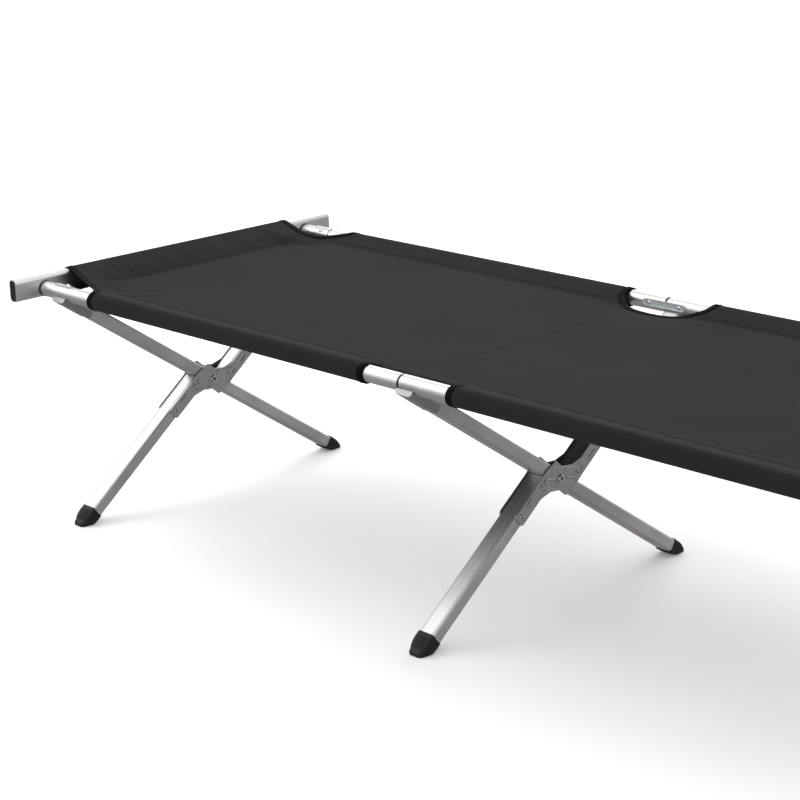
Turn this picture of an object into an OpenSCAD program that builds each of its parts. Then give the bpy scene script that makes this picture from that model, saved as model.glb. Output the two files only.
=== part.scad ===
// Folding camp cot: two jointed side rails, two slip-on end bars, three scissor leg sets
// and a fabric sling. +X runs from the head end to the foot end, -Y is the near side,
// +Z is up, and the origin is on the floor under the middle of the cot.

/* [Overall] */
// Length of the cot over its two end bars
cot_length = 1900; // [1850:10:2000]
// Distance between the axes of the two side rails
rail_spacing = 614; // [594:5:644]
// Height of the rail axes above the floor
rail_height = 434; // [424:5:449]
// Height of the scissor pivots above the floor
pivot_height = 213; // [205:2:221]

/* [Side rails] */
// Outside diameter of a rail tube
rail_d = 27; // [25:0.5:29]
// Wall of a rail tube
rail_wall = 1.5; // [1.2:0.1:2]
// Thickness of the plastic flange on a rail's outer end
end_flange = 2.4; // [1.6:0.2:3]
// Thickness of the plastic flange on each side of the centre seam
seam_flange = 2.2; // [1:0.2:3]

/* [End bars] */
// Height of an end bar's section
bar_height = 40; // [36:1:44]
// Thickness of an end bar's section
bar_thickness = 20; // [20:1:24]
// Length of an end bar over its caps
bar_length = 740; // [710:2:760]
// Wall of an end bar
bar_wall = 1.6; // [1.4:0.1:2]
// Height of an end bar's centre above the rail axes
bar_rise = 5; // [0:1:8]
// Diameter of the pins that the end bars slip over
pin_d = 16; // [14:1:18]
// Reach of a pin into its end bar
pin_reach = 16; // [10:1:17]

/* [Legs] */
// Width of a leg tube along the cot
leg_w = 33; // [30:1:36]
// Depth of a leg tube in the plane of its scissor
leg_h = 22.5; // [20:0.5:23]
// Wall of a leg tube
leg_wall = 1.5; // [1.2:0.1:2]
// Corner radius of a leg tube
leg_corner = 4; // [3:0.5:5]
// How far a rail's axis stands above the axis of the leg under it
rail_seat = 8; // [7:0.5:10]
// Distance of each half of a jogged leg from the scissor pivot
knee_offset = 23; // [23:0.5:26]
// Distance of the head and foot leg sets from the middle of the cot
end_set_x = 872; // [840:2:880]
// Position of the middle leg set, just past the centre seam
mid_set_x = 14; // [13:1:20]

/* [Fasteners] */
// Diameter of the scissor pivot rivets
pivot_d = 8; // [7:0.5:9]
// Diameter of the rivets that fix the knee plates
knee_rivet_d = 5; // [4:0.5:6]
// Diameter of the rivets that a leg set swings on
swing_d = 6; // [5:0.5:7]
// Radial clearance of the knee plates on the pivot rivets
pivot_clearance = 0.05; // [0.02:0.01:0.1]

/* [Steel parts] */
// Thickness of a knee plate
plate_t = 1.8; // [1.5:0.1:2]
// Reach of a knee plate from the pivot
plate_reach = 108; // [104:1:116]
// Thickness of the shoes on the leg tops
shoe_t = 1.4; // [1.2:0.1:1.6]
// Reach of a shoe down its leg from the rail's axis
shoe_reach = 60; // [55:1:70]
// Thickness of the saddle washers on the rails
saddle_t = 1.5; // [1.2:0.1:1.8]
// Length of a saddle washer along its rail
saddle_length = 44; // [38:1:46]

/* [Foot caps] */
// Length of a foot cap along its leg
cap_length = 42; // [36:1:46]
// Wall of a foot cap round the tube
cap_wall = 1.7; // [1.4:0.1:2.2]

/* [Sling] */
// Thickness of the sling panel
sling_t = 2.5; // [2:0.1:3]
// Length of rail left bare at each corner of the sling
corner_cut = 150; // [130:5:160]
// Half length of the opening at the centre seam
seam_cut = 90; // [84:2:100]

/* [Hidden] */
$fn = 64;

NEAR = -1;
FAR = 1;
rail_y = rail_spacing / 2;
rail_end_x = cot_length / 2 - bar_thickness;
rail_bore = rail_d - 2 * rail_wall;
set_x = [-end_set_x, mid_set_x, end_set_x];

// Where the rails and legs lie round the scissor pivot. A straight cross leg passes through the
// pivot; each half of the jogged leg runs beside it, so that the legs lie side by side when closed.
rail_reach = norm([rail_y, rail_height - pivot_height]);
rail_elevation = atan2(rail_height - pivot_height, rail_y);
cross_angle = rail_elevation - asin(rail_seat / rail_reach);
jogged_angle = rail_elevation + asin((knee_offset - rail_seat) / rail_reach);
cross_w = leg_w - 0.6;
leg_top_past_rail = 6;

// Steel seam link, which faces inboard: how far it is turned from the top of the rail, so that it
// clears the leg below, its ends along the rail, its width, how far it stands from the rail's
// axis, its floor over the rail and its two rivets
link_turn = 82;
link_x = [-46, 44];
link_w = 12;
link_top = rail_d / 2 + 2.8;
link_floor = 1.4;
link_rivet_x = [-33, 31];

head_h = 2.2;
swing_head_d = 11;
link_head_d = 8.4;
shoe_rivet_drop = 44;
first_knee_rivet = 30;
last_knee_rivet = 98;
knee_start = 24;

// Along a leg's axis, from the floor: where its tube stops, and how far its cap runs on past it
tube_stop = 19;
cap_past_floor = 8;

function unit(v) = v / norm(v);

// Points of the arc that rounds corner b between a and c
function corner(a, b, c, r, steps = 6) =
    let (
        u = unit(a - b),
        v = unit(c - b),
        half = acos(u * v) / 2,
        centre = b + unit(u + v) * r / sin(half),
        from = b + u * r / tan(half) - centre,
        to = b + v * r / tan(half) - centre,
        start = atan2(from.y, from.x),
        turn = (atan2(to.y, to.x) - start + 540) % 360 - 180
    )
    [for (i = [0:steps]) centre + r * [cos(start + turn * i / steps), sin(start + turn * i / steps)]];

function rounded_outline(points, r) =
    let (n = len(points))
    [for (i = [0:n - 1]) each corner(points[(i + n - 1) % n], points[i], points[(i + 1) % n], r)];

// 2D: rectangle with round corners, centred
module rounded_rect(w, h, r) {
    square([w, h - 2 * r], center = true);
    square([w - 2 * r, h], center = true);
    for (x = [-1, 1], y = [-1, 1])
        translate([x * (w / 2 - r), y * (h / 2 - r)]) circle(r);
}

// 2D shape in Y and Z, extruded along X from x0 to x1
module along_x(x0, x1)
    translate([x0, 0, 0]) rotate([90, 0, 90]) linear_extrude(x1 - x0) children();

// 2D shape in X and Z, extruded along Y from y0 to y1
module along_y(y0, y1)
    translate([0, y1, 0]) rotate([90, 0, 0]) linear_extrude(y1 - y0) children();

// Space of one rail: origin on its axis, +Z away from the leg below it
module rail_space(side)
    translate([0, side * rail_y, rail_height])
        rotate([side == NEAR ? -cross_angle : jogged_angle, 0, 0]) children();

// Space of one seam link: origin on its rail's axis, +Z inboard
module link_space(side)
    translate([0, side * rail_y, rail_height]) rotate([side * link_turn, 0, 0]) children();

// Space of one leg: origin at the pivot, +Y up the leg, +Z to its upper face
module leg_space(x, side)
    translate([x, 0, pivot_height]) mirror([0, side == NEAR ? 1 : 0, 0])
        rotate([side == NEAR ? cross_angle : jogged_angle, 0, 0]) children();

// Rail axis in leg space: how far up the leg it lies
function rail_s(side) =
    let (off = side == NEAR ? rail_seat : rail_seat - knee_offset)
    sqrt(rail_reach * rail_reach - off * off);
function leg_t(side) = side == NEAR ? 0 : -knee_offset;
function width_of(side) = side == NEAR ? cross_w : leg_w;

// Domed rivet head on the XY plane
module rivet_head(d, h) {
    ball = (d * d / 4 + h * h) / (2 * h);
    intersection() {
        translate([0, 0, h - ball]) sphere(ball);
        cylinder(d = d, h = h);
    }
}

// Rivet along Z with a shank from z0 to z1, and a head on each end unless its top is flush
module rivet(d, head_d, z0, z1, h = head_h, flush = false) {
    translate([0, 0, z0]) cylinder(d = d, h = z1 - z0);
    if (!flush) translate([0, 0, z1]) rivet_head(head_d, h);
    translate([0, 0, z0]) mirror([0, 0, 1]) rivet_head(head_d, h);
}

// ---- Side rails ----

// Half of a rail from x0 to x1, with the holes for its swing rivets and its link rivet
module rail_half(side, x0, x1, swing_x) {
    color("silver") difference() {
        translate([0, side * rail_y, rail_height]) along_x(x0, x1) difference() {
            circle(d = rail_d);
            circle(d = rail_bore);
        }
        rail_space(side) for (x = swing_x)
            translate([x, 0, 0]) cylinder(d = swing_d, h = 2 * rail_d, center = true);
        link_space(side) for (x = link_rivet_x) translate([x, 0, 0]) cylinder(d = swing_d, h = rail_d);
    }
}

module head_rail(side) rail_half(side, -rail_end_x + end_flange, -seam_flange - 0.1, [-end_set_x]);
module foot_rail(side) rail_half(side, seam_flange + 0.1, rail_end_x - end_flange, [mid_set_x, end_set_x]);

// The two plastic plugs that close the rail halves at the centre seam
module seam_plugs(side) {
    spigot = 8;
    color([0.06, 0.06, 0.06]) for (end = [-1, 1])
        translate([0, side * rail_y, rail_height]) rotate([0, 90 * end, 0]) {
            translate([0, 0, 0.1]) cylinder(d = rail_d, h = seam_flange);
            cylinder(d = rail_bore, h = seam_flange + spigot);
        }
}

// Plastic plug in a rail's outer end, with the pin that an end bar slips over
module end_plug(side, end) {
    spigot = 20;
    tip = 2;
    color([0.06, 0.06, 0.06])
    translate([end * rail_end_x, side * rail_y, rail_height]) rotate([0, 90 * end, 0]) {
        translate([0, 0, -end_flange]) cylinder(d = rail_d + 2, h = end_flange);
        translate([0, 0, -end_flange - spigot]) cylinder(d = rail_bore, h = spigot);
        cylinder(d = pin_d, h = pin_reach - tip);
        translate([0, 0, pin_reach - tip]) cylinder(d1 = pin_d, d2 = pin_d - 2 * tip, h = tip);
    }
}

// Formed steel strap that joins the halves of a rail, seated on the tube
module seam_link(side) {
    middle = (link_x[0] + link_x[1]) / 2;
    length = link_x[1] - link_x[0];
    rim = 1.6;
    seat = 2.4;
    color([0.72, 0.76, 0.78]) link_space(side) difference() {
        translate([middle, 0, rail_d / 2 - seat]) linear_extrude(link_top - rail_d / 2 + seat)
            rounded_rect(length, link_w, link_w / 2 - 0.1);
        translate([middle, 0, rail_d / 2 + link_floor]) linear_extrude(rail_d)
            rounded_rect(length - 2 * rim, link_w - 2 * rim, link_w / 2 - rim - 0.1);
        along_x(link_x[0] - 1, link_x[1] + 1) circle(d = rail_d);
        for (x = link_rivet_x) translate([x, 0, 0]) cylinder(d = swing_d, h = rail_d);
    }
}

module link_rivets(side) {
    inside = sqrt(rail_bore * rail_bore - link_head_d * link_head_d) / 2 - 0.1;
    color([0.6, 0.6, 0.62]) link_space(side) for (x = link_rivet_x) translate([x, 0, 0])
        rivet(swing_d, link_head_d, inside, rail_d / 2 + link_floor, 1.8);
}

// Curved washer that spreads the swing rivet's load over the top of the rail
module saddle(side, x) {
    spread = 52;
    reach = rail_d;
    color([0.72, 0.76, 0.78]) rail_space(side) difference() {
        along_x(x - saddle_length / 2, x + saddle_length / 2) intersection() {
            difference() {
                circle(d = rail_d + 2 * saddle_t);
                circle(d = rail_d);
            }
            polygon([[0, 0], [reach * sin(spread), reach * cos(spread)], [0, 2 * reach],
                [-reach * sin(spread), reach * cos(spread)]]);
        }
        translate([x, 0, 0]) cylinder(d = swing_d, h = rail_d);
    }
}

// ---- Legs ----

// 2D section of a leg tube with a shallow groove near each edge of its wide faces
module leg_section(w) {
    groove_w = 1;
    groove_depth = 0.4;
    difference() {
        rounded_rect(w, leg_h, leg_corner);
        rounded_rect(w - 2 * leg_wall, leg_h - 2 * leg_wall, leg_corner - leg_wall);
        for (x = [-1, 1], y = [-1, 1])
            translate([x * (w / 2 - leg_corner - groove_w), y * leg_h / 2])
                square([groove_w, 2 * groove_depth], center = true);
    }
}

// 2D shape in X and the leg's depth, extruded up the leg from s0 to s1 at depth t
module up_leg(s0, s1, t)
    translate([0, s1, t]) rotate([90, 0, 0]) linear_extrude(s1 - s0) children();

// Room for the rail and its swing rivet at a leg's top
module rail_room(side) {
    across = 2 * leg_w;
    translate([0, rail_s(side), leg_t(side) + rail_seat]) {
        rotate([0, 90, 0]) cylinder(d = rail_d + 0.1, h = across, center = true);
        cylinder(d = swing_d, h = 4 * leg_h, center = true);
    }
    translate([0, rail_s(side) - shoe_rivet_drop, leg_t(side) - leg_h])
        cylinder(d = knee_rivet_d, h = leg_h);
}
// Where the axis of a leg, at depth t, meets the floor, in leg space
function floor_s(side, t) =
    let (angle = side == NEAR ? cross_angle : jogged_angle)
    -(pivot_height + t * cos(angle)) / sin(angle);

// Straight leg from the near rail to the far foot
module cross_leg(x) {
    color("silver") leg_space(x, NEAR) difference() {
        up_leg(floor_s(NEAR, 0) + tube_stop, rail_s(NEAR) + leg_top_past_rail, 0) leg_section(cross_w);
        rail_room(NEAR);
        rotate([0, 90, 0]) cylinder(d = pivot_d, h = 2 * leg_w, center = true);
    }
}

// Holes for the two rivets that join half of a jogged leg to its knee plates
module knee_holes(half)
    for (s = [first_knee_rivet, last_knee_rivet])
        translate([0, half * s, -half * knee_offset])
            rotate([0, 90, 0]) cylinder(d = knee_rivet_d, h = 2 * leg_w, center = true);

// Upper half of the jogged leg, from the knee to the far rail
module upper_leg(x) {
    color("silver") leg_space(x, FAR) difference() {
        up_leg(knee_start, rail_s(FAR) + leg_top_past_rail, -knee_offset) leg_section(leg_w);
        rail_room(FAR);
        knee_holes(1);
    }
}

// Lower half of the jogged leg, from the knee to the near foot
module lower_leg(x) {
    color("silver") leg_space(x, FAR) difference() {
        up_leg(floor_s(FAR, knee_offset) + tube_stop, -knee_start, knee_offset) leg_section(leg_w);
        knee_holes(-1);
    }
}

// Pair of stamped steel plates that join the halves of a jogged leg and carry the pivot
module knee_plates(x) {
    edge = leg_h / 2 + 1;
    inner = knee_offset - edge;
    outer = knee_offset + edge;
    half_outline = [
        [-plate_reach, inner], [-51, inner], [-30, 2], [-15, -12], [-11, -outer + 3],
        [15, -outer - 1.5], [28, -outer], [plate_reach, -outer]
    ];
    outline = rounded_outline(concat(half_outline, [for (p = half_outline) -p]), 4.5);
    color([0.66, 0.68, 0.69]) leg_space(x, FAR) for (face = [-1, 1]) difference() {
        along_x(face == 1 ? leg_w / 2 : -leg_w / 2 - plate_t, face == 1 ? leg_w / 2 + plate_t : -leg_w / 2)
            polygon(outline);
        rotate([0, 90, 0]) cylinder(r = pivot_d / 2 + pivot_clearance, h = 2 * leg_w, center = true);
        knee_holes(1);
        knee_holes(-1);
    }
}

module knee_rivets() {
    grip = leg_w / 2 + plate_t;
    color([0.6, 0.6, 0.62]) for (x = set_x, half = [-1, 1], s = [first_knee_rivet, last_knee_rivet])
        leg_space(x, FAR) translate([0, half * s, -half * knee_offset])
            rotate([0, 90, 0]) rivet(knee_rivet_d, 10, -grip, grip);
}

// Scissor pivots, fixed in the cross legs and running in the knee plates
module pivot_rivets() {
    grip = leg_w / 2 + plate_t + 0.25;
    color([0.55, 0.55, 0.57]) for (x = set_x)
        leg_space(x, NEAR) rotate([0, 90, 0]) rivet(pivot_d, 16, -grip, grip, 2.6);
}

// Steel shoe round the underside of a leg's top
module shoe(x, side) {
    w = width_of(side);
    t = leg_t(side);
    s = rail_s(side);
    color([0.7, 0.73, 0.75]) leg_space(x, side) difference() {
        up_leg(s - shoe_reach, s + leg_top_past_rail + 1, t) difference() {
            rounded_rect(w + 2 * shoe_t, leg_h + 2 * shoe_t, leg_corner + shoe_t);
            translate([-leg_w, 1]) square(2 * leg_w);
        }
        up_leg(s - shoe_reach - 1, s + leg_top_past_rail + 0.1, t) rounded_rect(w, leg_h, leg_corner);
        rail_room(side);
    }
}

module shoe_rivets(side) {
    under = leg_t(side) - leg_h / 2;
    color([0.6, 0.6, 0.62]) for (x = set_x) leg_space(x, side)
        translate([0, rail_s(side) - shoe_rivet_drop, 0])
            rivet(knee_rivet_d, 9, under - shoe_t, under + leg_wall, 1.8);
}

// Rivets that each leg set swings on, through shoe, leg and rail. The head and foot sets' have
// a saddle under their heads, and the middle set's are flush with the rail beside its seam link.
module swing_rivets(side) {
    color([0.6, 0.6, 0.62]) for (x = set_x) rail_space(side) translate([x, 0, 0])
        rivet(swing_d, swing_head_d, -rail_seat - leg_h / 2 - shoe_t,
            rail_d / 2 + (x == mid_set_x ? -0.2 : saddle_t), flush = x == mid_set_x);
}

// Tapered plastic cap over a leg's lower end, with a flat sole on the floor
module foot_cap(x, side, t) {
    w = width_of(side) + 2 * cap_wall;
    h = leg_h + 2 * cap_wall;
    bottom = floor_s(side, t) - cap_past_floor;
    top = bottom + cap_length;
    color([0.05, 0.05, 0.05]) difference() {
        leg_space(x, side) difference() {
            hull() {
                up_leg(top - 15, top, t) rounded_rect(w, h, 4.5, $fn = 32);
                up_leg(bottom, bottom + 1, t) rounded_rect(w - 11, h - 9, 5, $fn = 32);
            }
            up_leg(floor_s(side, t) + tube_stop, top + 1, t) rounded_rect(width_of(side), leg_h, leg_corner);
        }
        translate([x - leg_w, -cot_length, -2 * leg_w]) cube([2 * leg_w, 2 * cot_length, 2 * leg_w]);
    }
}

// ---- End bars ----

// Flat-sided tube that spreads the rails, with a hole for each rail's pin
module end_bar(end) {
    corner_r = 8;
    x = end * (cot_length - bar_thickness) / 2;
    color("silver") difference() {
        translate([x, 0, rail_height + bar_rise]) along_y(-bar_length / 2, bar_length / 2)
            difference() {
                rounded_rect(bar_thickness, bar_height, corner_r);
                rounded_rect(bar_thickness - 2 * bar_wall, bar_height - 2 * bar_wall, corner_r - bar_wall);
            }
        for (side = [NEAR, FAR])
            translate([end * (rail_end_x - 1), side * rail_y, rail_height]) rotate([0, 90 * end, 0])
                cylinder(d = pin_d + 0.6, h = bar_wall + 3);
    }
}

// Plastic inserts, a little recessed in both ends of an end bar
module bar_caps(end) {
    inner = bar_length / 2 - 14;
    outer = bar_length / 2 - 1.2;
    x = end * (cot_length - bar_thickness) / 2;
    color([0.05, 0.05, 0.05]) for (side = [NEAR, FAR])
        translate([x, 0, rail_height + bar_rise])
            along_y(side == FAR ? inner : -outer, side == FAR ? outer : -inner)
                rounded_rect(bar_thickness - 2 * bar_wall, bar_height - 2 * bar_wall, 8 - bar_wall);
}

// ---- Sling ----

// Fabric panel stretched over both rails, cut away round the bare parts of the rails
module sling() {
    lift = rail_d / 2 + 0.5;
    length = 2 * rail_end_x - 2;
    near_depth = 26;
    far_depth = 42;
    scallop_r = (seam_cut * seam_cut + far_depth * far_depth) / (2 * far_depth);
    color([0.2, 0.2, 0.2]) translate([0, 0, rail_height + lift]) linear_extrude(sling_t) difference() {
        square([length, rail_spacing], center = true);
        translate([-seam_cut + 10, -rail_y - 1]) square([2 * seam_cut, near_depth + 1]);
        translate([6, rail_y - far_depth + scallop_r]) circle(scallop_r, $fn = 180);
        for (end = [-1, 1]) {
            translate([end * (rail_end_x - corner_cut / 2), -rail_y])
                square([corner_cut, 2 * near_depth], center = true);
            translate([end * (rail_end_x - corner_cut / 2 + 1), rail_y])
                square([corner_cut, 2 * near_depth], center = true);
        }
    }
}

head_rail(NEAR);  // near_rail_head
foot_rail(NEAR);  // near_rail_foot
seam_plugs(NEAR);  // near_seam_plugs
seam_link(NEAR);  // near_seam_link
link_rivets(NEAR);  // near_link_rivets
end_plug(NEAR, -1);  // near_end_plug_head
end_plug(NEAR, 1);  // near_end_plug_foot
saddle(NEAR, -end_set_x);  // near_saddle_head
saddle(NEAR, end_set_x);  // near_saddle_foot
cross_leg(-end_set_x);  // cross_leg_head
cross_leg(mid_set_x);  // cross_leg_mid
cross_leg(end_set_x);  // cross_leg_foot
shoe(-end_set_x, NEAR);  // near_shoe_head
shoe(mid_set_x, NEAR);  // near_shoe_mid
shoe(end_set_x, NEAR);  // near_shoe_foot
shoe_rivets(NEAR);  // near_shoe_rivets
swing_rivets(NEAR);  // near_swing_rivets
foot_cap(-end_set_x, NEAR, 0);  // far_foot_cap_head
foot_cap(mid_set_x, NEAR, 0);  // far_foot_cap_mid
foot_cap(end_set_x, NEAR, 0);  // far_foot_cap_foot
pivot_rivets();
head_rail(FAR);  // far_rail_head
foot_rail(FAR);  // far_rail_foot
seam_plugs(FAR);  // far_seam_plugs
seam_link(FAR);  // far_seam_link
link_rivets(FAR);  // far_link_rivets
end_plug(FAR, -1);  // far_end_plug_head
end_plug(FAR, 1);  // far_end_plug_foot
saddle(FAR, -end_set_x);  // far_saddle_head
saddle(FAR, end_set_x);  // far_saddle_foot
upper_leg(-end_set_x);  // upper_leg_head
upper_leg(mid_set_x);  // upper_leg_mid
upper_leg(end_set_x);  // upper_leg_foot
lower_leg(-end_set_x);  // lower_leg_head
lower_leg(mid_set_x);  // lower_leg_mid
lower_leg(end_set_x);  // lower_leg_foot
knee_plates(-end_set_x);  // knee_plates_head
knee_plates(mid_set_x);  // knee_plates_mid
knee_plates(end_set_x);  // knee_plates_foot
knee_rivets();
shoe(-end_set_x, FAR);  // far_shoe_head
shoe(mid_set_x, FAR);  // far_shoe_mid
shoe(end_set_x, FAR);  // far_shoe_foot
shoe_rivets(FAR);  // far_shoe_rivets
swing_rivets(FAR);  // far_swing_rivets
foot_cap(-end_set_x, FAR, knee_offset);  // near_foot_cap_head
foot_cap(mid_set_x, FAR, knee_offset);  // near_foot_cap_mid
foot_cap(end_set_x, FAR, knee_offset);  // near_foot_cap_foot
end_bar(-1);  // head_bar
bar_caps(-1);  // head_bar_caps
end_bar(1);  // foot_bar
bar_caps(1);  // foot_bar_caps
sling();
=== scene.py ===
"""Looks of the folding camp cot: fabric sling with its hems, bindings and stitches, small pressed
and moulded details, materials, lights and camera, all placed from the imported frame."""
import math

import bmesh
import bpy
import numpy as np
from mathutils import Matrix, Vector


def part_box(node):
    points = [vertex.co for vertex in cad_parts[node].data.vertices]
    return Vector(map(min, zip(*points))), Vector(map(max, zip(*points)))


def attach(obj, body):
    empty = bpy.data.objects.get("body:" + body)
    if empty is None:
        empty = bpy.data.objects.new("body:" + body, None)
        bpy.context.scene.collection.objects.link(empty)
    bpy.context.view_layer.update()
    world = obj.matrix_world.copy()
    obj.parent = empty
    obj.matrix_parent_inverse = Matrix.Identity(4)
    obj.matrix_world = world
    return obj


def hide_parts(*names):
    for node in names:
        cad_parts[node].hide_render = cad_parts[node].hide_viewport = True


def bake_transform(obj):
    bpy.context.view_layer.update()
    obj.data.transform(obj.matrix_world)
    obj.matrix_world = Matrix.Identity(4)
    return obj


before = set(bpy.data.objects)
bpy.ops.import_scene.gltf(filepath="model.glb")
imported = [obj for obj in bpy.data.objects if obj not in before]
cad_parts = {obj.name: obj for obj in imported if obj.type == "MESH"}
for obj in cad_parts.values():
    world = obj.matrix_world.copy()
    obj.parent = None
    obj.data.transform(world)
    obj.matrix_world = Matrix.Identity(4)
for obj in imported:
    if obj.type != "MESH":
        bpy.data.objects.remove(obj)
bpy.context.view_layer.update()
RNG = np.random.default_rng(7)


# ---------------------------------------------------------------- places, from the frame
def mid(node):
    low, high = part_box(node)
    return (low + high) / 2


rail_low, rail_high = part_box("near_rail_head")
RAIL_R = (rail_high.z - rail_low.z) / 2
RAIL_Y = mid("far_rail_head").y
RAIL_Z = mid("near_rail_head").z
bar_low, bar_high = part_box("head_bar")
BAR_MID_X = -mid("head_bar").x
BAR_Z = mid("head_bar").z
BAR_HALF_W = (bar_high.x - bar_low.x) / 2
BAR_HALF_H = (bar_high.z - bar_low.z) / 2
BAR_CORNER = 0.008

# ---------------------------------------------------------------- node helpers
def material(name):
    m = bpy.data.materials.new(name)
    m.use_nodes = True
    nodes, links = m.node_tree.nodes, m.node_tree.links
    return m, nodes, links, nodes["Principled BSDF"]


def setting(shader, **values):
    for key, value in values.items():
        shader.inputs[key.replace("_", " ")].default_value = value


def node(nodes, kind, **values):
    n = nodes.new(kind)
    for key, value in values.items():
        if hasattr(n, key):
            setattr(n, key, value)
        else:
            n.inputs[key.replace("_", " ")].default_value = value
    return n


def mapped(nodes, links, scale, output="Object"):
    place = nodes.new("ShaderNodeTexCoord")
    scaled = node(nodes, "ShaderNodeMapping", Scale=scale)
    links.new(place.outputs[output], scaled.inputs["Vector"])
    return scaled.outputs["Vector"]


def noise(nodes, links, vector, scale, detail=3.0, roughness=0.55):
    n = node(nodes, "ShaderNodeTexNoise", Scale=scale, Detail=detail, Roughness=roughness)
    links.new(vector, n.inputs["Vector"])
    return n.outputs["Fac"]


def ramp(nodes, links, fac, stops):
    """A colour ramp from (place, colour or grey) stops."""
    r = nodes.new("ShaderNodeValToRGB")
    elements = r.color_ramp.elements
    while len(elements) < len(stops):
        elements.new(0.5)
    for e, (at, c) in zip(elements, stops):
        e.position = at
        e.color = (c, c, c, 1) if isinstance(c, float) else (*c, 1)
    links.new(fac, r.inputs["Fac"])
    return r.outputs["Color"]


def math_node(nodes, links, kind, a, b):
    n = node(nodes, "ShaderNodeMath", operation=kind)
    for socket, value in zip(n.inputs, (a, b)):
        if isinstance(value, (int, float)):
            socket.default_value = value
        else:
            links.new(value, socket)
    return n.outputs["Value"]


def bump(nodes, links, height, distance, strength=1.0, below=None):
    b = node(nodes, "ShaderNodeBump", Strength=strength, Distance=distance)
    links.new(height, b.inputs["Height"])
    if below is not None:
        links.new(below, b.inputs["Normal"])
    return b.outputs["Normal"]


# ---------------------------------------------------------------- materials
def aluminium(name, streaks, tint=(0.60, 0.585, 0.575), rough=0.30):
    """Satin extruded aluminium: die lines along the tube, handling marks and a faint haze."""
    m, nodes, links, shader = material(name)
    setting(shader, Metallic=1.0)
    along = noise(nodes, links, mapped(nodes, links, streaks), 1.0, 5.0, 0.65)
    cloud = noise(nodes, links, mapped(nodes, links, (1, 1, 1)), 9.0, 3.0)
    scuff = noise(nodes, links, mapped(nodes, links, (1, 1, 1)), 95.0, 6.0, 0.7)
    dark = tuple(c * 0.82 for c in tint)
    light = tuple(min(1.0, c * 1.12) for c in tint)
    drawn = math_node(nodes, links, "ADD", math_node(nodes, links, "MULTIPLY", cloud, 0.45),
                      math_node(nodes, links, "MULTIPLY", along, 0.55))
    links.new(ramp(nodes, links, drawn, [(0.38, dark), (0.62, light)]), shader.inputs["Base Color"])
    mixed = math_node(nodes, links, "MULTIPLY", along, 0.16)
    worn = math_node(nodes, links, "MULTIPLY", scuff, 0.12)
    total = math_node(nodes, links, "ADD", mixed, worn)
    links.new(math_node(nodes, links, "ADD", total, rough - 0.12), shader.inputs["Roughness"])
    fine = bump(nodes, links, along, 0.00009, 0.5)
    links.new(bump(nodes, links, scuff, 0.00002, 0.2, fine), shader.inputs["Normal"])
    return m


def zinc(name, tint=(0.40, 0.42, 0.43), rough=0.36, spread=(0.86, 1.12)):
    """Zinc-plated pressed steel: a bluish coat with a soft spangle and small knocks."""
    m, nodes, links, shader = material(name)
    setting(shader, Metallic=1.0)
    spangle = node(nodes, "ShaderNodeTexVoronoi", Scale=330.0)
    links.new(mapped(nodes, links, (1, 1, 1)), spangle.inputs["Vector"])
    grain = noise(nodes, links, mapped(nodes, links, (1, 1, 1)), 260.0, 4.0)
    dark, light = (tuple(min(1, c * share) for c in tint) for share in spread)
    links.new(ramp(nodes, links, spangle.outputs["Color"], [(0.1, dark), (0.9, light)]),
              shader.inputs["Base Color"])
    links.new(math_node(nodes, links, "ADD", math_node(nodes, links, "MULTIPLY", grain, 0.2), rough - 0.1),
              shader.inputs["Roughness"])
    links.new(bump(nodes, links, grain, 0.00006, 0.6), shader.inputs["Normal"])
    return m


def plastic(name, colour=0.0040, rough=0.45):
    """Black moulded plastic with a fine spark-eroded grain and paler rubbed patches."""
    m, nodes, links, shader = material(name)
    shader.inputs["Specular IOR Level"].default_value = 0.3
    grain = noise(nodes, links, mapped(nodes, links, (1, 1, 1)), 1600.0, 2.0)
    rubbed = noise(nodes, links, mapped(nodes, links, (1, 1, 1)), 60.0, 5.0, 0.7)
    links.new(ramp(nodes, links, rubbed, [(0.35, colour), (0.8, colour * 2.4)]), shader.inputs["Base Color"])
    links.new(math_node(nodes, links, "ADD", math_node(nodes, links, "MULTIPLY", rubbed, 0.25), rough - 0.12),
              shader.inputs["Roughness"])
    links.new(bump(nodes, links, grain, 0.00005, 0.6), shader.inputs["Normal"])
    return m


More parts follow.
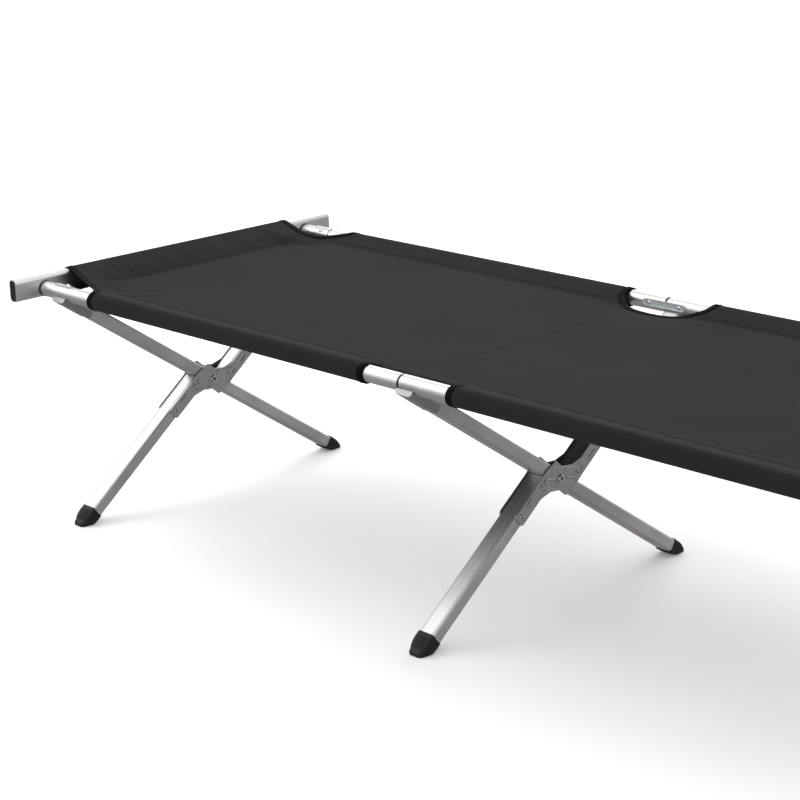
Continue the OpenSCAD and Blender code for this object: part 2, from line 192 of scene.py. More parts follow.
def woven(name, dark, light, pitch, rough=0.78, sheen=0.12, twill=False):
    """Plain-woven polyester from the piece's own cloth map, which is in metres of flat cloth."""
    m, nodes, links, shader = material(name)
    setting(shader, Sheen_Weight=sheen, Sheen_Roughness=0.45, Roughness=rough)
    shader.inputs["Specular IOR Level"].default_value = 0.04
    cloth = node(nodes, "ShaderNodeUVMap", uv_map="cloth")
    turn = node(nodes, "ShaderNodeMapping", Rotation=(0, 0, math.radians(40) if twill else 0))
    links.new(cloth.outputs["UV"], turn.inputs["Vector"])
    split = nodes.new("ShaderNodeSeparateXYZ")
    links.new(turn.outputs["Vector"], split.inputs["Vector"])
    cycles = 2 * math.pi / pitch
    waves = [math_node(nodes, links, "SINE", turned, 0.0)
             for turned in [math_node(nodes, links, "MULTIPLY", split.outputs[k], cycles)
                            for k in ("X", "Y")]]
    over = math_node(nodes, links, "MULTIPLY", waves[0], waves[1])
    threads = math_node(nodes, links, "ADD", math_node(nodes, links, "MULTIPLY", over, 0.5), 0.5)
    slub = noise(nodes, links, cloth.outputs["UV"], 420.0, 4.0, 0.7)
    cloud = noise(nodes, links, cloth.outputs["UV"], 7.0, 4.0, 0.6)
    tone = math_node(nodes, links, "ADD", math_node(nodes, links, "MULTIPLY", cloud, 0.55),
                     math_node(nodes, links, "MULTIPLY", math_node(
                         nodes, links, "ADD", math_node(nodes, links, "MULTIPLY", threads, 0.5), slub), 0.3))
    links.new(ramp(nodes, links, tone, [(0.30, dark), (0.72, light)]), shader.inputs["Base Color"])
    coarse = bump(nodes, links, slub, 0.00010, 0.5)
    links.new(bump(nodes, links, threads, 0.00016, 0.6, coarse), shader.inputs["Normal"])
    return m


ALU_RAIL = aluminium("alu_rail", (6, 700, 700), (0.57, 0.565, 0.56), 0.34)
ALU_LEG = aluminium("alu_leg", (420, 6, 6), (0.55, 0.54, 0.53), 0.40)
ALU_BAR = aluminium("alu_bar", (900, 6, 900), (0.60, 0.60, 0.59), 0.36)
ZINC = zinc("zinc_plate")
PALE_ZINC = zinc("zinc_link", (0.60, 0.65, 0.67), 0.30)
# the shoe's steel is tinted darker than the saddle and the zinc plates: painted shade for its place under the
# rail
SHOE_STEEL_PAINTED_SHADE = zinc("shoe_steel_painted_shade", (0.33, 0.33, 0.33), 0.45, (0.96, 1.04))
SADDLE_STEEL = zinc("saddle_steel", (0.50, 0.50, 0.50), 0.36, (0.94, 1.05))
RIVET = zinc("rivet_steel", (0.50, 0.51, 0.52), 0.30)
# near-black fill for the rivet bores: painted shade, a dark plug put where the hole is only in shade
BORE_PAINTED_SHADE = plastic("rivet_bore_painted_shade", 0.003, 0.7)
BLACK = plastic("black_plastic", 0.0015)
SOLE = plastic("foot_plastic", 0.0040, 0.55)
FABRIC = woven("sling_cloth", (0.0112, 0.0114, 0.0112), (0.0178, 0.0181, 0.0178), 0.0016, 0.85, 0.02)
BINDING = woven("binding_tape", (0.0016, 0.0016, 0.0017), (0.0042, 0.0042, 0.0042), 0.0011, 0.8, 0.01, True)
THREAD = woven("thread", (0.010, 0.010, 0.010), (0.022, 0.022, 0.022), 0.0006, 0.7, 0.02, True)

FINISHES = [
    ("near_rail", ALU_RAIL), ("far_rail", ALU_RAIL), ("head_bar_caps", BLACK), ("foot_bar_caps", BLACK),
    ("head_bar", ALU_BAR), ("foot_bar", ALU_BAR), ("cross_leg", ALU_LEG), ("upper_leg", ALU_LEG),
    ("lower_leg", ALU_LEG), ("near_seam_link", PALE_ZINC), ("far_seam_link", PALE_ZINC),
    ("near_saddle", SADDLE_STEEL), ("far_saddle", SADDLE_STEEL), ("near_shoe_rivets", RIVET),
    ("far_shoe_rivets", RIVET), ("near_shoe", SHOE_STEEL_PAINTED_SHADE), ("far_shoe", SHOE_STEEL_PAINTED_SHADE), ("knee_plates", ZINC),
    ("near_seam_plugs", BLACK), ("far_seam_plugs", BLACK), ("near_end_plug", BLACK),
    ("far_end_plug", BLACK), ("near_foot_cap", SOLE), ("far_foot_cap", SOLE), ("sling", FABRIC),
]


def finish_of(name):
    return next((m for start, m in FINISHES if name.startswith(start)), RIVET)


for name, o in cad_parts.items():
    o.data.materials.clear()
    o.data.materials.append(finish_of(name))
    edge = o.modifiers.new("edge", "BEVEL")
    edge.width, edge.segments, edge.limit_method = 0.0004, 2, "ANGLE"
    edge.angle_limit = math.radians(50)
    edge.harden_normals = False


# ---------------------------------------------------------------- the sling's surface
CLEAR = 0.0010                     # fabric's inner face over the metal
CLOTH_T = 0.0012
WRAP_R = RAIL_R + CLEAR
TOP_Z = RAIL_Z + WRAP_R
HEM_W = 0.052                      # sleeve seam, inboard of the rail's axis
HEM_DROP = 0.013                   # how far the panel lies under the rail's top
SAG = 0.005
POCKET_W = 0.080                   # end pocket seam, inboard of the bar
WINDOW_EDGE = 0.0185               # free edge of the near window, inboard of the rail's axis
WINDOW_DIP = 0.0040                # how far that edge lies under the sleeves beside it
PANEL_HALF = RAIL_Y - HEM_W
BETA = math.radians(17)


def smooth(t):
    t = np.clip(t, 0, 1)
    return t * t * (3 - 2 * t)


def eased(t, r):
    """0 before 0, then a line of slope 1 that starts over a round of half width r."""
    return np.where(t < -r, 0.0, np.where(t > r, t, (t + r) ** 2 / (4 * r)))


def hem_slope(s, side_soft):
    """Drop of the fabric below the rail's top, s inboard of the rail's axis."""
    grade = HEM_DROP / (HEM_W - 0.004)
    fall = grade * eased(s - 0.004, 0.004)
    over = grade * eased(s - HEM_W, side_soft)
    return fall - over


RAMP_TOP = BAR_Z + (BAR_HALF_H - BAR_CORNER) + (BAR_CORNER + CLEAR) * math.cos(BETA)
RAMP_X = BAR_MID_X - (BAR_HALF_W - BAR_CORNER) - (BAR_CORNER + CLEAR) * math.sin(BETA)
MESH_WAVES = [(RNG.uniform(7, 30), RNG.uniform(7, 30), RNG.uniform(0, 6.28), RNG.uniform(0, 6.28))
              for _ in range(10)]
FOLDS = [(RNG.uniform(-0.20, 0.22), RNG.uniform(0.004, 0.009), RNG.uniform(0.0006, 0.0016),
          RNG.uniform(-0.25, 0.25)) for _ in range(26)]
CORNER_PULLS = [(sx * 0.785, sy * RAIL_Y) for sx in (-1, 1) for sy in (-1, 1)]


def height(x, y):
    """Height of the fabric's underside over the floor where it isn't wrapped round a tube."""
    s = RAIL_Y - np.abs(y)
    fall = np.where(y > 0, hem_slope(s, 0.005), hem_slope(s, 0.016))
    across = np.clip(np.abs(y) / PANEL_HALF, 0, 1)
    sag = SAG * (1 - across ** 2) * (1 - smooth((np.abs(x) - 0.60) / 0.25))
    low = TOP_Z - fall - sag
    width = POCKET_W + 0.068 * smooth((np.abs(y) - 0.17) / 0.10)
    up = eased((np.abs(x) - (RAMP_X - width)) / width, 0.10)
    up = np.clip(up, 0, 1)
    z = low * (1 - up) + RAMP_TOP * up
    # gathers over the end pockets
    for y0, w, amp, slant in FOLDS:
        for end in (-1, 1):
            d = y - y0 * end - slant * (np.abs(x) - RAMP_X)
            z += amp * np.exp(-(d / w) ** 2) * np.sin(math.pi * np.clip(up, 0, 1)) ** 1.5
    # faint unevenness of the stretched cloth, and the fold line across the middle
    inside = smooth(s / 0.12)
    for kx, ky, px, py in MESH_WAVES:
        z += 0.00014 * inside * np.sin(kx * x + px) * np.sin(ky * y + py)
    z -= 0.0007 * np.exp(-((x + 0.025) / 0.0035) ** 2) * smooth((0.19 - np.abs(y)) / 0.08)
    # tension folds that fan out from the sleeve mouths
    for cx, cy in CORNER_PULLS:
        dx, dy = (x - cx) * -np.sign(cx), (y - cy) * -np.sign(cy)
        r = np.hypot(dx, dy) + 1e-6
        a = np.arctan2(dy, dx)
        z += 0.00025 * np.sin(a * 19) * smooth((0.24 - r) / 0.2) * smooth(r / 0.05) * smooth(s / 0.02)
    # the free edge at the near window lies lower, along the rail's inboard side
    along = smooth((x + 0.092) / 0.030) * smooth((0.118 - x) / 0.030)
    z -= WINDOW_DIP * along * np.exp(-(np.maximum(RAIL_Y + y - WINDOW_EDGE, 0) / 0.030) ** 2)
    # the free edge at the far mid cut-out hangs a little lower
    z -= 0.006 * np.exp(-(((x - 0.008) / 0.07) ** 2)) * np.exp(-(((RAIL_Y - y) - 0.055) / 0.035) ** 2)
    return z


def bar_profile():
    """Fabric's inner face round an end bar, in (outward, up) from the bar's centre."""
    r = BAR_CORNER + CLEAR
    w, h = BAR_HALF_W - BAR_CORNER, BAR_HALF_H - BAR_CORNER
    turns = [((-w, h), math.pi / 2 + BETA, math.pi / 2), ((w, h), math.pi / 2, 0),
             ((w, -h), 0, -math.pi / 2), ((-w, -h), -math.pi / 2, -math.pi / 2 - math.radians(12))]
    points = []
    for (cx, cz), a0, a1 in turns:
        for a in np.linspace(a0, a1, 9):
            points.append((cx + r * math.cos(a), cz + r * math.sin(a)))
    return np.array(points)


BAR_PATH = bar_profile()
BAR_S = np.concatenate([[0], np.cumsum(np.linalg.norm(np.diff(BAR_PATH, axis=0), axis=1))])
SLEEVE_TURN = math.radians(193)
SLEEVE_ARC = WRAP_R * SLEEVE_TURN
SLEEVE_BACK = HEM_W - 0.003
POCKET_BACK = POCKET_W - 0.002
V_FULL = RAIL_Y + SLEEVE_ARC + SLEEVE_BACK
U_FULL = RAMP_X + BAR_S[-1] + POCKET_BACK
UNDER = CLOTH_T + 0.0009           # lower layer's inner face under the panel's at a seam


def surface(u, v):
    """Place of the cloth's inner face for flat-cloth coordinates u along the cot and v across it."""
    u, v = np.asarray(u, float), np.asarray(v, float)
    x, y = np.clip(u, -RAMP_X, RAMP_X), np.clip(v, -RAIL_Y, RAIL_Y)
    z = height(x, y)
    sv, su = np.sign(v), np.sign(u)
    # round the rail
    past = np.abs(v) - RAIL_Y
    turn = np.clip(past / WRAP_R, 0, SLEEVE_TURN)
    round_y = RAIL_Y + WRAP_R * np.sin(turn)
    round_z = RAIL_Z + WRAP_R * np.cos(turn)
    back = np.clip((past - SLEEVE_ARC) / SLEEVE_BACK, 0, 1)
    seam_y = RAIL_Y - HEM_W - 0.001
    seam_z = height(x, sv * seam_y) - UNDER
    round_y = round_y * (1 - back) + seam_y * back
    round_z = round_z * (1 - back) + seam_z * back
    on_rail = past > 0
    y = np.where(on_rail, sv * round_y, y)
    z = np.where(on_rail, round_z, z)
    # round the bar
    past = np.abs(u) - RAMP_X
    out = np.interp(past, BAR_S, BAR_PATH[:, 0])
    rise = np.interp(past, BAR_S, BAR_PATH[:, 1])
    back = np.clip((past - BAR_S[-1]) / POCKET_BACK, 0, 1)
    seam_x = RAMP_X - POCKET_W - 0.001
    seam_z = height(su * seam_x, y) - UNDER
    bar_x = (BAR_MID_X + out) * (1 - back) + seam_x * back
    bar_z = (BAR_Z + rise) * (1 - back) + seam_z * back
    on_bar = past > 0
    x = np.where(on_bar, su * bar_x, x)
    z = np.where(on_bar, bar_z, z)
    return np.stack([x, y, z], axis=-1)


def normal(u, v, step=0.0006):
    """Outward normal of the cloth: up on the panel, away from the tube on a sleeve."""
    du = surface(u + step, v) - surface(u - step, v)
    dv = surface(u, v + step) - surface(u, v - step)
    n = np.cross(du, dv)
    return n / np.maximum(np.linalg.norm(n, axis=-1, keepdims=True), 1e-12)


# ---------------------------------------------------------------- the cut of the cloth
def fillet(points, radii, steps=7):
    """An open line through the points, with its inner corners rounded."""
    out = [np.array(points[0], float)]
    for i in range(1, len(points) - 1):
        a, b, c = (np.array(p, float) for p in points[i - 1:i + 2])
        ab, cb = (a - b) / np.linalg.norm(a - b), (c - b) / np.linalg.norm(c - b)
        half = math.acos(np.clip(ab @ cb, -1, 1)) / 2
        reach = min(radii[i - 1] / math.tan(half), 0.48 * np.linalg.norm(a - b), 0.48 * np.linalg.norm(c - b))
        p, q = b + ab * reach, b + cb * reach
        for t in np.linspace(0, 1, steps):
            out.append(p * (1 - t) ** 2 + 2 * b * t * (1 - t) + q * t * t)
    out.append(np.array(points[-1], float))
    return np.array(out)


def mirrored(line):
    return (line * np.array([-1, 1]))[::-1]


# Outlines of the cut-outs, each with the cloth on its left as it runs.
WINDOW_X = (-0.078, 0.104)         # ends of the near window
SCALLOP_X = (-0.084, 0.094)        # ends of the far scallop, and how deep it runs
SCALLOP_DEEP = 0.056
NEAR_SLEEVE_X, FAR_SLEEVE_X = 0.784, 0.790     # outer mouths of the sleeves
NEAR_POCKET_Y, FAR_POCKET_Y = 0.250, 0.264     # mouths of the end pockets
FAR_OUT = 3.0
near_window = fillet([(WINDOW_X[0], -V_FULL), (WINDOW_X[0], -RAIL_Y + WINDOW_EDGE),
                      (WINDOW_X[1], -RAIL_Y + WINDOW_EDGE), (WINDOW_X[1], -V_FULL)], [0.012, 0.012])
far_scallop = fillet([(SCALLOP_X[1], V_FULL), (SCALLOP_X[1], RAIL_Y - 0.022), (0.058, RAIL_Y - SCALLOP_DEEP),
                      (-0.042, RAIL_Y - SCALLOP_DEEP), (SCALLOP_X[0], RAIL_Y - 0.024),
                      (SCALLOP_X[0], V_FULL)], [0.030, 0.055, 0.055, 0.030])
near_head = fillet([(-U_FULL, -NEAR_POCKET_Y), (-RAMP_X, -NEAR_POCKET_Y), (-0.806, -RAIL_Y + 0.018),
                    (-NEAR_SLEEVE_X, -RAIL_Y - 0.002), (-NEAR_SLEEVE_X, -V_FULL)], [0.03, 0.05, 0.02])
far_head = fillet([(-FAR_SLEEVE_X, V_FULL), (-FAR_SLEEVE_X, RAIL_Y - 0.004), (-0.834, RAIL_Y - 0.050),
                   (-0.876, RAIL_Y - 0.056), (-RAMP_X, FAR_POCKET_Y), (-U_FULL, FAR_POCKET_Y)],
                  [0.025, 0.04, 0.05, 0.02])
near_foot, far_foot = mirrored(near_head), mirrored(far_head)
CUTS = {
    "near_mid": (near_window, [(WINDOW_X[1], -FAR_OUT), (WINDOW_X[0], -FAR_OUT)]),
    "far_mid": (far_scallop, [(SCALLOP_X[0], FAR_OUT), (SCALLOP_X[1], FAR_OUT)]),
    "near_head": (near_head, [(-NEAR_SLEEVE_X, -FAR_OUT), (-FAR_OUT, -FAR_OUT), (-FAR_OUT, -NEAR_POCKET_Y)]),
    "far_head": (far_head, [(-FAR_OUT, FAR_POCKET_Y), (-FAR_OUT, FAR_OUT), (-FAR_SLEEVE_X, FAR_OUT)]),
    "near_foot": (near_foot, [(FAR_OUT, -NEAR_POCKET_Y), (FAR_OUT, -FAR_OUT), (NEAR_SLEEVE_X, -FAR_OUT)]),
    "far_foot": (far_foot, [(FAR_SLEEVE_X, FAR_OUT), (FAR_OUT, FAR_OUT), (FAR_OUT, FAR_POCKET_Y)]),
}


def inside(points, polygon):
    """Which points lie in the polygon."""
    x, y = points[:, 0], points[:, 1]
    hit = np.zeros(len(points), bool)
    for a, b in zip(polygon, np.roll(polygon, -1, axis=0)):
        crosses = (a[1] > y) != (b[1] > y)
        with np.errstate(divide="ignore", invalid="ignore"):
            at = (b[0] - a[0]) * (y - a[1]) / (b[1] - a[1]) + a[0]
        hit ^= crosses & (x < at)
    return hit


def nearest_on(points, line):
    """The nearest place on an open line for each point, and how far it is."""
    a, d = line[:-1], np.diff(line, axis=0)
    t = ((points[:, None] - a) * d).sum(2) / np.maximum((d * d).sum(1), 1e-15)
    at = a + np.clip(t, 0, 1)[..., None] * d
    far = np.linalg.norm(points[:, None] - at, axis=2)
    k = far.argmin(1)
    rows = np.arange(len(points))
    return at[rows, k], far[rows, k]


def steps(stops):
    """Grid lines through the given (place, spacing after it) stops."""
    out = []
    for (a, gap), (b, _) in zip(stops, stops[1:]):
        n = max(1, round((b - a) / gap))
        out += list(np.linspace(a, b, n, endpoint=False))
    return np.array(out + [stops[-1][0]])


def build_cloth():
    coarse = 0.0075
    us = steps([(-U_FULL, 0.008), (-RAMP_X - BAR_S[-1], 0.0022), (-RAMP_X, 0.005), (-RAMP_X + 0.16, coarse),
                (-0.12, 0.005), (0.14, coarse), (RAMP_X - 0.16, 0.005), (RAMP_X, 0.0022),
                (RAMP_X + BAR_S[-1], 0.008), (U_FULL, 1)])
    edge = RAIL_Y + SLEEVE_ARC
    vs = steps([(-V_FULL, 0.008), (-edge, 0.0024), (-RAIL_Y, 0.004), (-RAIL_Y + 0.07, coarse),
                (RAIL_Y - 0.07, 0.004), (RAIL_Y, 0.0024), (edge, 0.008), (V_FULL, 1)])
    nu, nv = len(us), len(vs)
    grid = np.stack(np.meshgrid(us, vs, indexing="ij"), axis=2)
    centres = (grid[:-1, :-1] + grid[1:, 1:]) / 2
    flat = centres.reshape(-1, 2)
    cut = np.zeros(len(flat), bool)
    for line, rest in CUTS.values():
        cut |= inside(flat, np.concatenate([line, np.array(rest)]))
    keep = ~cut.reshape(nu - 1, nv - 1)
    touching = np.zeros((nu, nv), int)
    present = np.zeros((nu, nv), int)
    for i in (0, 1):
        for j in (0, 1):
            touching[i:nu - 1 + i, j:nv - 1 + j] += keep
            present[i:nu - 1 + i, j:nv - 1 + j] += 1
    rim = (touching > 0) & (touching < present)
    place = grid[rim]
    best, where = np.full(len(place), 0.012), place.copy()
    for line, _ in CUTS.values():
        at, far = nearest_on(place, line)
        closer = far < best
        best[closer], where[closer] = far[closer], at[closer]
    grid[rim] = where
    index = np.full((nu, nv), -1)
    index[touching > 0] = np.arange((touching > 0).sum())
    uv = grid[touching > 0]
    faces = [(index[i, j], index[i + 1, j], index[i + 1, j + 1], index[i, j + 1])
             for i, j in zip(*np.nonzero(keep))]
    mesh = bpy.data.meshes.new("sling_cloth")
    mesh.from_pydata(surface(uv[:, 0], uv[:, 1]).tolist(), [], faces)
    layer = mesh.uv_layers.new(name="cloth")
    loops = np.zeros(len(mesh.loops), int)
    mesh.loops.foreach_get("vertex_index", loops)
    layer.data.foreach_set("uv", uv[loops].astype(np.float32).ravel())
    mesh.polygons.foreach_set("use_smooth", [True] * len(mesh.polygons))
    mesh.validate()
    corners = uv[np.array(faces)]
    a, b = corners[:, 2] - corners[:, 0], corners[:, 3] - corners[:, 1]
    area = float(np.abs(a[:, 0] * b[:, 1] - a[:, 1] * b[:, 0]).sum() / 2)
    o = bpy.data.objects.new("sling_cloth", mesh)
    bpy.context.scene.collection.objects.link(o)
    thick = o.modifiers.new("cloth", "SOLIDIFY")
    thick.thickness, thick.offset = CLOTH_T, 1.0
    thick.use_quality_normals = True
    return o, area


def new_object(name, vertices, faces, mat, uv=None, smooth_faces=True):
    mesh = bpy.data.meshes.new(name)
    mesh.from_pydata([tuple(v) for v in vertices], [], faces)
    if uv is not None:
        uv = np.asarray(uv, float)
        layer = mesh.uv_layers.new(name="cloth")
        loops = np.zeros(len(mesh.loops), int)
        mesh.loops.foreach_get("vertex_index", loops)
        layer.data.foreach_set("uv", uv[loops].astype(np.float32).ravel())
    mesh.polygons.foreach_set("use_smooth", [smooth_faces] * len(mesh.polygons))
    mesh.validate()
    bm = bmesh.new()
    bm.from_mesh(mesh)
    bmesh.ops.recalc_face_normals(bm, faces=bm.faces)
    bm.to_mesh(mesh)
    bm.free()
    mesh.materials.append(mat)
    o = bpy.data.objects.new(name, mesh)
    bpy.context.scene.collection.objects.link(o)
    return o


def resampled(line, gap):
    along = np.concatenate([[0], np.cumsum(np.linalg.norm(np.diff(line, axis=0), axis=1))])
    at = np.linspace(0, along[-1], max(2, math.ceil(along[-1] / gap) + 1))
    points = np.stack([np.interp(at, along, line[:, k]) for k in range(2)], axis=1)
    tangent = np.gradient(points, axis=0)
    tangent /= np.linalg.norm(tangent, axis=1, keepdims=True)
    return points, np.stack([-tangent[:, 1], tangent[:, 0]], axis=1), at


TAPE = [(11.5, 1.55), (11.1, 2.05), (5.5, 2.15), (0.4, 2.0), (-0.9, 1.45), (-1.2, 0.6), (-0.9, -0.25),
        (0.4, -0.8), (5.5, -0.85), (11.1, -0.8), (11.5, -0.3)]


def tape(line, gap=0.004):
    """Binding folded over the cloth's edge along a cut: its vertices, faces and cloth map."""
    points, inward, at = resampled(line, gap)
    n = len(TAPE)
    vertices, uv, faces = [], [], []
    for k, (a, b) in enumerate(TAPE):
        p = points + inward * max(a, 0.0) / 1000
        base = surface(p[:, 0], p[:, 1])
        up = normal(p[:, 0], p[:, 1])
        if a < 0:
            ahead = surface(*(points + inward * 0.002).T)
            out = surface(*points.T) - ahead
            out /= np.linalg.norm(out, axis=1, keepdims=True)
            base = base + out * -a / 1000
        vertices.append(base + up * b / 1000)
        uv.append(np.stack([at, np.full(len(at), k * 0.0022)], axis=1))
    vertices, uv = np.stack(vertices, axis=1), np.stack(uv, axis=1)
    m = len(points)
    for i in range(m - 1):
        for k in range(n):
            j = (k + 1) % n
            faces.append((i * n + k, i * n + j, (i + 1) * n + j, (i + 1) * n + k))
    faces.append(tuple(range(n))[::-1])
    faces.append(tuple((m - 1) * n + k for k in range(n)))
    return vertices.reshape(-1, 3), faces, uv.reshape(-1, 2)


def joined(parts):
    vertices, faces, uv, start = [], [], [], 0
    for v, f, t in parts:
        vertices.append(v)
        uv.append(t)
        faces += [tuple(i + start for i in face) for face in f]
        start += len(v)
    return np.concatenate(vertices), faces, np.concatenate(uv)


def stitch(a, b, up, radius=0.00032):
    """One stitch: a thread that rises out of the cloth, runs and dips back in."""
    along = b - a
    length = np.linalg.norm(along)
    along = along / length
    side = np.cross(up, along)
    rings = []
    for t, lift, r in ((0.0, -0.2, 0.5), (0.14, 0.75, 1.0), (0.5, 1.1, 1.05), (0.86, 0.75, 1.0),
                       (1.0, -0.2, 0.5)):
        centre = a + along * length * t + up * lift * radius
        rings.append([centre + radius * r * (side * math.cos(w) + up * math.sin(w))
                      for w in np.arange(6) * math.pi / 3])
    vertices = np.array(rings).reshape(-1, 3)
    faces = [(i * 6 + k, i * 6 + (k + 1) % 6, (i + 1) * 6 + (k + 1) % 6, (i + 1) * 6 + k)
             for i in range(4) for k in range(6)]
    faces += [(5, 4, 3, 2, 1, 0), tuple(24 + k for k in range(6))]
    uv = np.stack([np.repeat([0, .14, .5, .86, 1], 6) * length, np.tile(np.arange(6) * 0.0004, 5)], axis=1)
    return vertices, faces, uv


def stitches(line, inset, lift, pitch=0.0045, length=0.0032):
    points, inward, _ = resampled(line, pitch)
    p = points + inward * inset
    tangent = np.stack([inward[:, 1], -inward[:, 0]], axis=1)
    p0, p1 = p - tangent * length / 2, p + tangent * length / 2
    up = normal(p[:, 0], p[:, 1])
    a, b = surface(*p0.T) + up * lift, surface(*p1.T) + up * lift
    return [stitch(a[i], b[i], up[i]) for i in range(1, len(p) - 1)]


sling, flat_area = build_cloth()
sling.data.materials.append(FABRIC)
tapes = []
for name, (line, _) in CUTS.items():
    v, f, cloth_map = tape(line)
    tapes.append(new_object("binding_" + name, v, f, BINDING, cloth_map))

BINDING_STITCH = 0.0088            # the binding's stitch line in from the edge, and its top face
BINDING_TOP = 0.0021
SEAM_LINES = (0.003, 0.009)        # twin stitch lines, short of a seam
MOUTH = 0.008                      # where a sleeve's stitching stops, short of its mouth
threads = []
for line, _ in CUTS.values():
    threads += stitches(line, BINDING_STITCH, BINDING_TOP)
SLEEVES = [(-1, -NEAR_SLEEVE_X + MOUTH, WINDOW_X[0] - MOUTH),
           (-1, WINDOW_X[1] + MOUTH, NEAR_SLEEVE_X - MOUTH),
           (1, -FAR_SLEEVE_X + MOUTH, SCALLOP_X[0] - MOUTH),
           (1, SCALLOP_X[1] + MOUTH, FAR_SLEEVE_X - MOUTH)]
for side, x0, x1 in SLEEVES:
    for inset in [HEM_W - short for short in SEAM_LINES]:
        line = np.array([(x0, side * (RAIL_Y - inset)), (x1, side * (RAIL_Y - inset))])
        threads += stitches(line, 0.0, CLOTH_T)
for end in (-1, 1):
    for inset in [POCKET_W - short for short in SEAM_LINES]:
        x = end * (RAMP_X - inset)
        threads += stitches(np.array([(x, -0.232), (x, 0.235)]), 0.0, CLOTH_T)
v, f, t = joined(threads)
stitching = new_object("sling_stitches", v, f, THREAD, t)

for o in (sling, stitching, *tapes):
    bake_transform(o)
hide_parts("sling")

# ---------------------------------------------------------------- legs and foot caps
def leg_axes(name):
    """Middle of a leg tube's run and its direction up the leg, found from its narrowest width."""
    points = np.array([v.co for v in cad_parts[name].data.vertices], float).reshape(-1, 3)[:, 1:]
    best = None
    for angle in np.radians(np.arange(0, 180, 0.05)):
        across = points @ np.array([-math.sin(angle), math.cos(angle)])
        if best is None or np.ptp(across) < best[0]:
            best = (np.ptp(across), angle, (across.max() + across.min()) / 2)
    depth, angle, offset = best
    up = np.array([math.cos(angle), math.sin(angle)])
    face = np.array([-math.sin(angle), math.cos(angle)])
    return depth, up, face, face * offset


def along_leg(x, s, t, up, face, base):
    """Places in the frame from s along the leg and t off its face, with x along the cot."""
    yz = base + np.multiply.outer(s, up) + np.multiply.outer(t, face)
    return np.stack([x, yz[..., 0], yz[..., 1]], axis=-1)


def rounded_ring(w, h, r, n=96):
    """Points round a rounded rectangle, evenly spaced by angle share of its outline."""
    straight = [2 * (h / 2 - r), 2 * (w / 2 - r)] * 2
    arc = math.pi / 2 * r
    total = sum(straight) + 4 * arc
    corners = [(w / 2 - r, h / 2 - r, 0.0), (-w / 2 + r, h / 2 - r, 90.0),
               (-w / 2 + r, -h / 2 + r, 180.0), (w / 2 - r, -h / 2 + r, 270.0)]
    starts = [np.array([w / 2, -h / 2 + r]), np.array([w / 2 - r, h / 2]), np.array([-w / 2, h / 2 - r]),
              np.array([-w / 2 + r, -h / 2])]
    heads = [np.array([0, 1]), np.array([-1, 0]), np.array([0, -1]), np.array([1, 0])]
    out = []
    for d in np.arange(n) / n * total:
        for k in range(4):
            if d <= straight[k]:
                out.append(starts[k] + heads[k] * d)
                break
            d -= straight[k]
            if d <= arc:
                cx, cy, a0 = corners[k]
                a = math.radians(a0) + d / r
                out.append(np.array([cx + r * math.cos(a), cy + r * math.sin(a)]))
                break
            d -= arc
    return np.array(out)


# Rings of a foot cap from its mouth down: distance up from the floor along the leg, extra width
# and depth over the tube, corner radius and how much the ribs show, all in millimetres.
CAP_RINGS = [(31.0, 0.2, 0.2, 4.2, 0), (33.6, 0.3, 0.3, 4.2, 0), (34.0, 1.2, 1.2, 4.6, 0),
             (33.7, 2.9, 2.9, 5.2, 0), (32.8, 3.6, 3.6, 5.4, 0), (30.2, 3.6, 3.6, 5.4, 0),
             (29.4, 3.0, 3.0, 5.2, 0), (28.4, 2.5, 2.5, 5.0, 0.4), (26.0, 2.3, 2.3, 5.0, 1),
             (20.0, 1.9, 1.6, 5.0, 1), (14.0, 0.8, 0.4, 5.2, 1), (9.0, -1.2, -1.2, 5.6, 1),
             (6.0, -2.6, -2.6, 6.0, 0.6), (4.6, -3.0, -3.0, 6.2, 0), (2.0, -3.4, -3.4, 6.4, 0),
             (-1.0, -4.6, -4.6, 6.4, 0), (-3.6, -7.4, -7.4, 6.0, 0), (-5.6, -12.0, -11.0, 4.6, 0)]
CAP_COLLAR = 28                    # the collar round the mouth starts this far up
RIBS = 24


def foot_cap(name, leg, body):
    depth, up, face, base = leg_axes(leg)
    low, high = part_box(leg)
    width, x0 = high.x - low.x, (high.x + low.x) / 2
    if up[1] < 0:
        up = -up
    floor_s = -base[1] / up[1]
    rings, n, rib_depth = [], 120, 0.0008
    wave = np.clip(np.cos(np.arange(n) / n * 2 * math.pi * RIBS) * 1.6, -1, 1)
    for s, dw, dh, radius, ribbed in CAP_RINGS:
        ring = rounded_ring(width + dw / 1000, depth + dh / 1000, radius / 1000, n)
        out = ring / np.linalg.norm(ring, axis=1, keepdims=True)
        ring = ring + out * (ribbed * rib_depth * wave)[:, None]
        lip = (s > CAP_COLLAR) * 0.0012 * (ring[:, 1] / (depth / 2)) ** 2
        p = along_leg(x0 + ring[:, 0], floor_s + s / 1000 + lip, ring[:, 1], up, face, base)
        p[:, 2] = np.maximum(p[:, 2], 0.0)
        rings.append(p)
    vertices = np.concatenate(rings)
    m = len(rings)
    faces = [(i * n + k, (i + 1) * n + k, (i + 1) * n + (k + 1) % n, i * n + (k + 1) % n)
             for i in range(m - 1) for k in range(n)]
    faces.append(tuple((m - 1) * n + k for k in range(n)))
    faces.append(tuple(k for k in range(n))[::-1])
    o = new_object(name + "_moulding", vertices, faces, SOLE)
    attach(o, body)
    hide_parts(name)
    return o


for where in ("head", "mid", "foot"):
    foot_cap("far_foot_cap_" + where, "cross_leg_" + where, "near_frame")
    foot_cap("near_foot_cap_" + where, "lower_leg_" + where, "far_frame")

